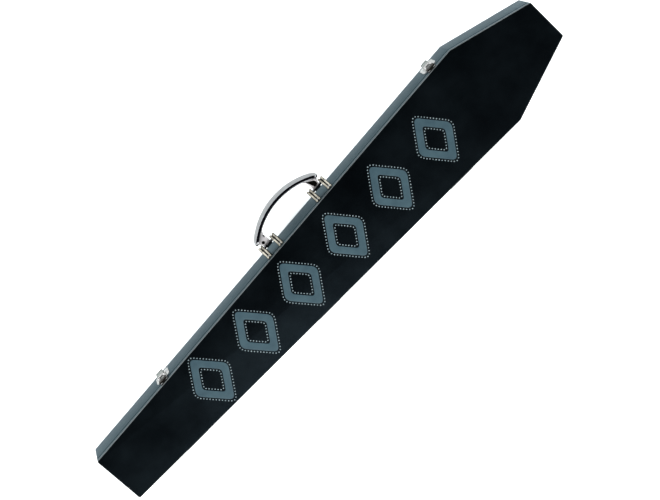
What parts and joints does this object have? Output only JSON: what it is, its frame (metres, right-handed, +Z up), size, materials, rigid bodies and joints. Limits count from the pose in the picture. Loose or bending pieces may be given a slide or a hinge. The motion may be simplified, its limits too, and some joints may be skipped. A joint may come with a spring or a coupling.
{
  "type": "cue case",
  "caption": "Six-sided hard case for a two-piece cue and spare shafts, with a hinged shallow lid, draw latches, a swinging carry handle and a foam bed.",
  "frame": {"origin": "middle of the case's back face, which the case lies on: half way along its length and on its centre line; not counting latches, hinges and handle", "axes": "+X along the case from the narrow foot end to the head end; +Y to the side with the latches and handle; +Z up, out of the lid"},
  "size_m": [0.838, 0.1697, 0.0564],
  "materials": {
    "leatherette": "black embossed leatherette, low sheen",
    "applique": "matt slate blue",
    "plush": "charcoal plush over foam",
    "lining": "charcoal plush over soft pad",
    "board": "bare fibreboard",
    "nickel": "bright nickel plate",
    "chrome": "polished chrome plate",
    "steel": "plain zinc-plated steel"
  },
  "bodies": {
    "case": {"base_back_board": "board", "base_back_cover": "leatherette", "base_foot_rail": "board", "base_head_rail": "board", "base_hinge_rail": "board", "base_hinge_shoulder_rail": "board", "base_latch_rail": "board", "base_latch_shoulder_rail": "board", "base_side_cover": "leatherette", "cue_bed": "plush", "foot_handle_backing_plate": "steel", "foot_handle_pin": "chrome", "foot_hinge_base_leaf": "nickel", "foot_hinge_pin": "nickel", "foot_latch_pivots": "nickel", "foot_latch_plate": "nickel", "handle_lug_foot_inner": "chrome", "handle_lug_foot_outer": "chrome", "handle_lug_head_inner": "chrome", "handle_lug_head_outer": "chrome", "handle_rivets": "chrome", "head_handle_backing_plate": "steel", "head_handle_pin": "chrome", "head_hinge_base_leaf": "nickel", "head_hinge_pin": "nickel", "head_latch_pivots": "nickel", "head_latch_plate": "nickel", "hinge_base_screws": "nickel", "latch_screws": "nickel", "middle_hinge_base_leaf": "nickel", "middle_hinge_pin": "nickel"},
    "lid": {"foot_hinge_lid_leaf": "nickel", "foot_latch_strike": "nickel", "head_hinge_lid_leaf": "nickel", "head_latch_strike": "nickel", "hinge_lid_screws": "nickel", "lid_appliques": "applique", "lid_board": "board", "lid_foot_rail": "board", "lid_front_cover": "leatherette", "lid_head_rail": "board", "lid_hinge_rail": "board", "lid_hinge_shoulder_rail": "board", "lid_latch_rail": "board", "lid_latch_shoulder_rail": "board", "lid_pad": "lining", "lid_side_cover": "leatherette", "middle_hinge_lid_leaf": "nickel", "strike_screws": "nickel"},
    "handle": {"handle_grip": "chrome"},
    "foot_lever": {"foot_latch_lever": "nickel", "foot_latch_link_pin": "nickel"},
    "foot_hook": {"foot_latch_hook": "nickel"},
    "head_lever": {"head_latch_lever": "nickel", "head_latch_link_pin": "nickel"},
    "head_hook": {"head_latch_hook": "nickel"}
  },
  "joints": [
    {"name": "lid_hinge", "type": "hinge", "parent": "case", "child": "lid", "pos_m": [-0.06034, -0.05441, 0.047], "axis": [0.9991, -0.0413, 0], "range_deg": [0, 110]},
    {"name": "handle_swing", "type": "hinge", "parent": "case", "child": "handle", "pos_m": [-0.00175, 0.06554, 0.028], "axis": [0.9991, 0.0413, 0], "range_deg": [-60, 60]},
    {"name": "foot_latch_lever", "type": "hinge", "parent": "case", "child": "foot_lever", "pos_m": [-0.27926, 0.04797, 0.036], "axis": [0.9991, 0.0413, 0], "range_deg": [0, 140]},
    {"name": "foot_latch_hook", "type": "hinge", "parent": "foot_lever", "child": "foot_hook", "pos_m": [-0.27924, 0.04747, 0.0295], "axis": [0.9991, 0.0413, 0], "range_deg": [-182, 0]},
    {"name": "head_latch_lever", "type": "hinge", "parent": "case", "child": "head_lever", "pos_m": [0.26608, 0.07049, 0.036], "axis": [0.9991, 0.0413, 0], "range_deg": [0, 140]},
    {"name": "head_latch_hook", "type": "hinge", "parent": "head_lever", "child": "head_hook", "pos_m": [0.2661, 0.06999, 0.0295], "axis": [0.9991, 0.0413, 0], "range_deg": [-182, 0]}
  ],
  "couplings": [
    {"joint": "foot_latch_hook", "follows": "foot_latch_lever", "ratio": -1.3},
    {"joint": "head_latch_hook", "follows": "head_latch_lever", "ratio": -1.3}
  ]
}
